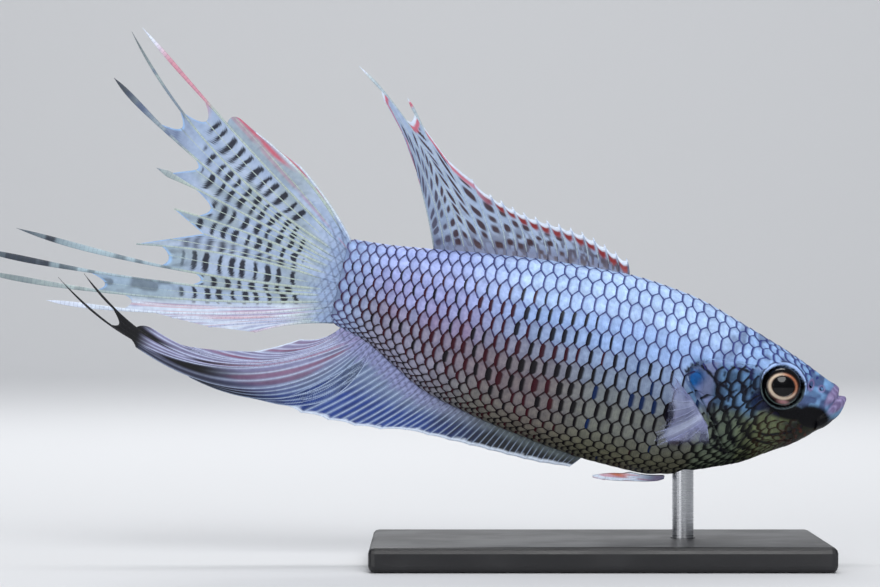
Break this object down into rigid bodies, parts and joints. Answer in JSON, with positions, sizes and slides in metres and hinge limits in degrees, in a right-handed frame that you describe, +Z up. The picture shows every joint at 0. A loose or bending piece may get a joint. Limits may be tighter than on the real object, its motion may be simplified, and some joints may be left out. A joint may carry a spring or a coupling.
{
  "type": "black paradise fish model",
  "caption": "Life-size still model of a male black paradise fish, fins spread and long tail filaments trailing, held nose down by a rod on a plain display stand.",
  "frame": {"origin": "centre of the stand base's underside", "axes": "+X ahead, the way the fish faces; +Z up; +Y to the fish's left"},
  "size_m": [0.1236, 0.038, 0.0755],
  "materials": {
    "scaled_skin": "satin",
    "head_skin": "satin",
    "gill_skin": "satin",
    "eye_glass": "gloss",
    "fin_web": "satin",
    "anal_web": "satin",
    "clear_web": "satin",
    "base_black": "satin",
    "rod_steel": "satin"
  },
  "bodies": {
    "root": {"head": "head_skin", "trunk": "scaled_skin", "tail_stem": "scaled_skin", "gill_cover_right": "gill_skin", "gill_cover_left": "gill_skin", "eye_right": "eye_glass", "eye_left": "eye_glass", "pectoral_fin_right": "clear_web", "pectoral_fin_left": "clear_web", "pelvic_fin_right": "clear_web", "pelvic_fin_left": "clear_web", "dorsal_fin": "fin_web", "anal_fin": "anal_web", "tail_fin_upper": "fin_web", "tail_fin_lower": "fin_web", "stand_base": "base_black", "stand_rod": "rod_steel"}
  },
  "joints": []
}
